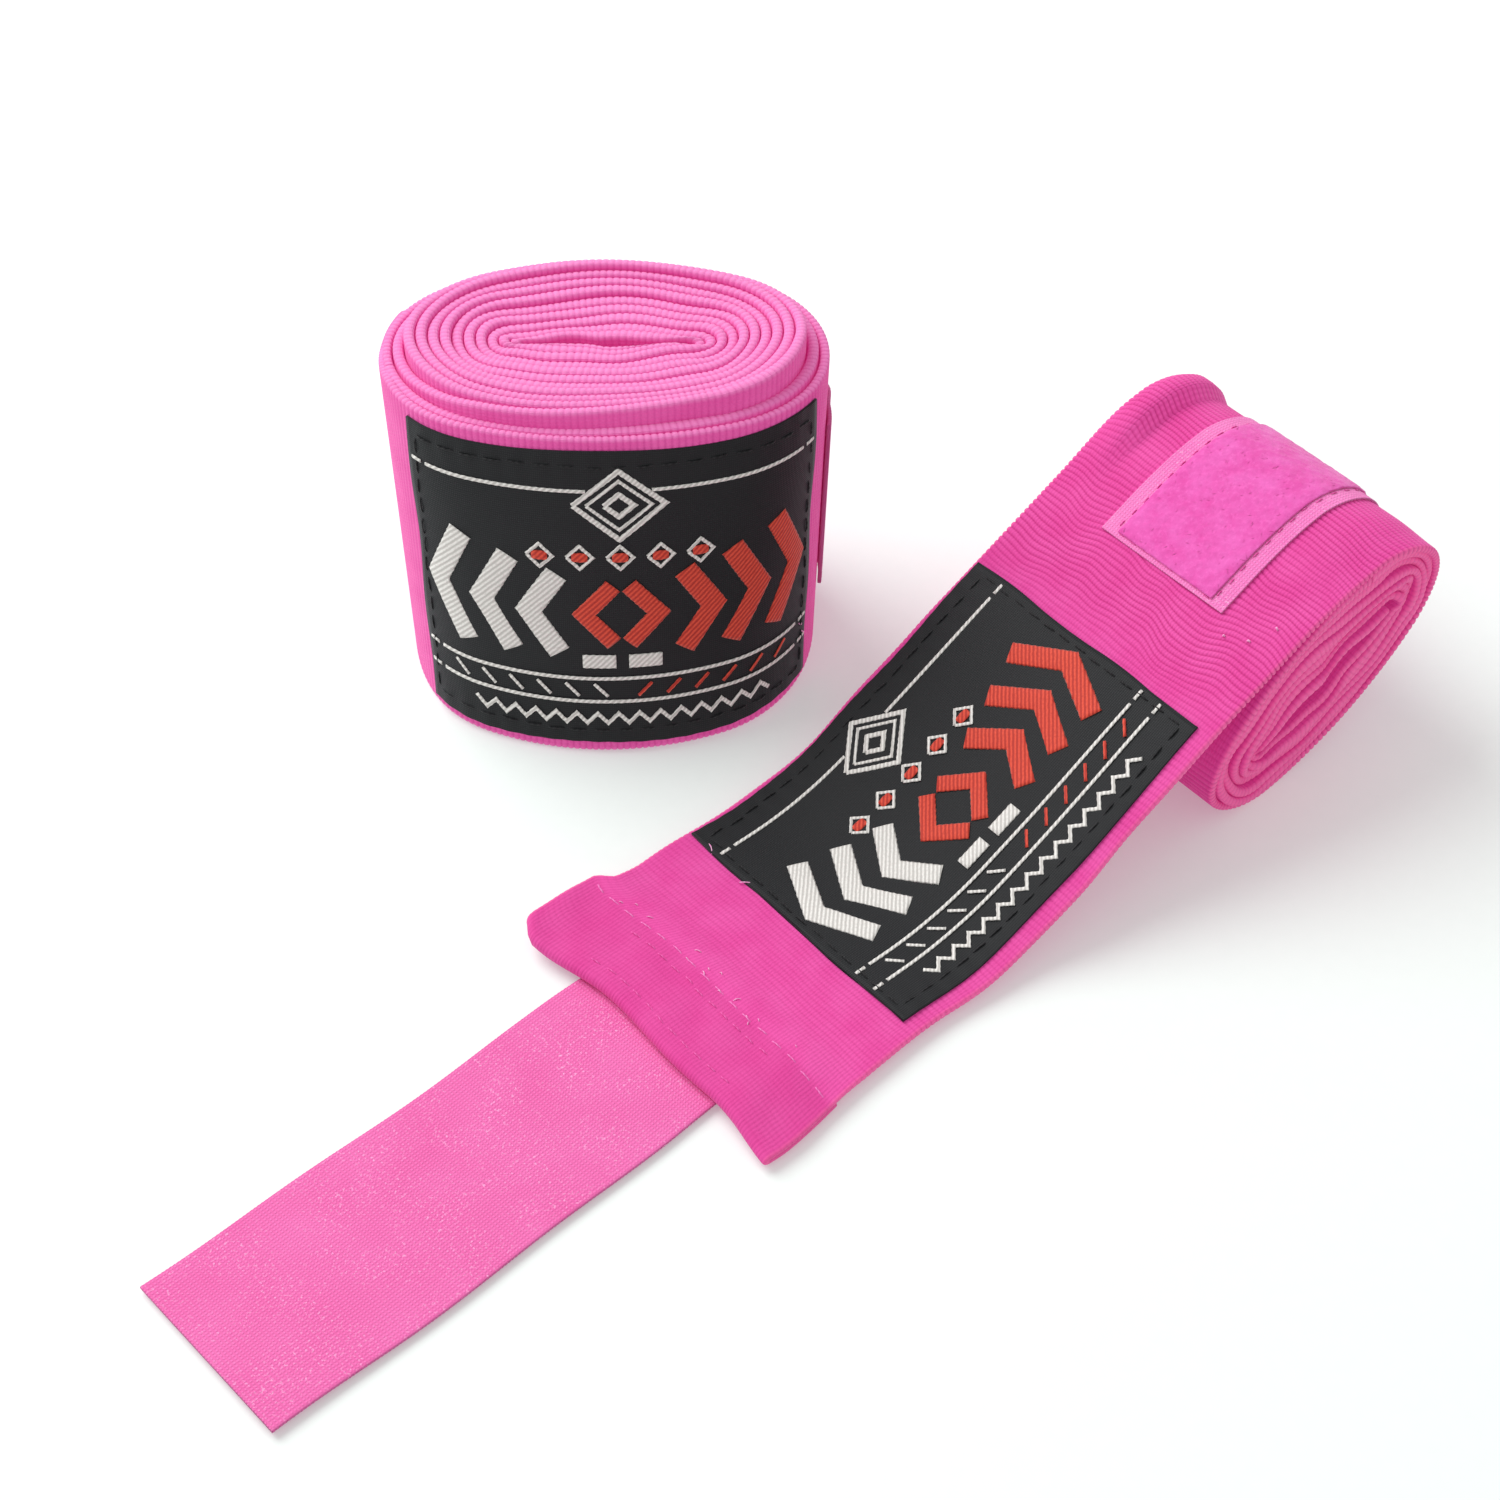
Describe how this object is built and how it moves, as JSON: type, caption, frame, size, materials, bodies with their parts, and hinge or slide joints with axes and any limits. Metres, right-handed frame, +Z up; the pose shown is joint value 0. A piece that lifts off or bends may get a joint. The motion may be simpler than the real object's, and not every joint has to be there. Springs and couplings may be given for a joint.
{
  "type": "hand wrap pair",
  "caption": "Pair of elasticated boxing hand wraps: one rolled and closed on its end, one with its hemmed end, woven label and hook tongue laid out beside its roll.",
  "frame": {"origin": "centre of the floor area under the whole pair, on the floor", "axes": "+X along the open wrap's band from its hook tongue to its roll, +Y across the band towards the rolled wrap, +Z up"},
  "size_m": [0.205, 0.122, 0.05],
  "materials": {
    "band_cloth": "ribbed elastic weave, matt",
    "hook_tape": "fine woven nylon tape, slight sheen",
    "hooks": "translucent nylon hooks",
    "loop_tape": "woven tape with pale selvedges",
    "loop_pile": "brushed loop pile",
    "pink_thread": "spun thread",
    "label_thread": "black spun thread",
    "label_cloth": "fine damask weave, satin",
    "loop_strap": "ribbed elastic weave, matt"
  },
  "bodies": {
    "open_roll": {"open_band_roll": "band_cloth", "open_loop_patch": "loop_tape", "open_loop_pile": "loop_pile", "open_patch_stitching": "pink_thread", "open_thumb_loop": "loop_strap", "open_thumb_loop_bartack": "pink_thread"},
    "open_tail": {"open_band_tail": "band_cloth", "open_hem": "band_cloth", "open_hook_tape_root": "hook_tape", "open_hem_stitching": "pink_thread", "open_tongue_stitching": "pink_thread", "open_label": "label_cloth", "open_label_stitching": "label_thread"},
    "open_tongue": {"open_hook_tape": "hook_tape", "open_hook_field": "hooks"},
    "rolled_wrap": {"rolled_band": "band_cloth", "rolled_hem": "band_cloth", "rolled_hook_tape_root": "hook_tape", "rolled_hem_stitching": "pink_thread", "rolled_tongue_stitching": "pink_thread", "rolled_label": "label_cloth", "rolled_label_stitching": "label_thread", "rolled_loop_patch": "loop_tape", "rolled_loop_pile": "loop_pile", "rolled_patch_stitching": "pink_thread", "rolled_thumb_loop": "loop_strap", "rolled_thumb_loop_bartack": "pink_thread"},
    "rolled_tongue": {"rolled_hook_tape": "hook_tape", "rolled_hook_field": "hooks"}
  },
  "joints": [
    {"name": "tail_lift", "type": "hinge", "parent": "open_roll", "child": "open_tail", "pos_m": [0.06062, -0.03599, 0.0258], "axis": [0, 1, 0], "range_deg": [0, 90]},
    {"name": "tongue_fold", "type": "hinge", "parent": "open_tail", "child": "open_tongue", "pos_m": [-0.02918, -0.03599, 0.0035], "axis": [0, 1, 0], "range_deg": [0, 140]},
    {"name": "rolled_lift", "type": "slide", "parent": "open_roll", "child": "rolled_wrap", "axis": [0, 0, 1], "range_m": [0, 0.12]},
    {"name": "closure_peel", "type": "hinge", "parent": "rolled_wrap", "child": "rolled_tongue", "pos_m": [0.0048, 0.061, 0.025], "axis": [0, 0, 1], "range_deg": [0, 110]}
  ]
}
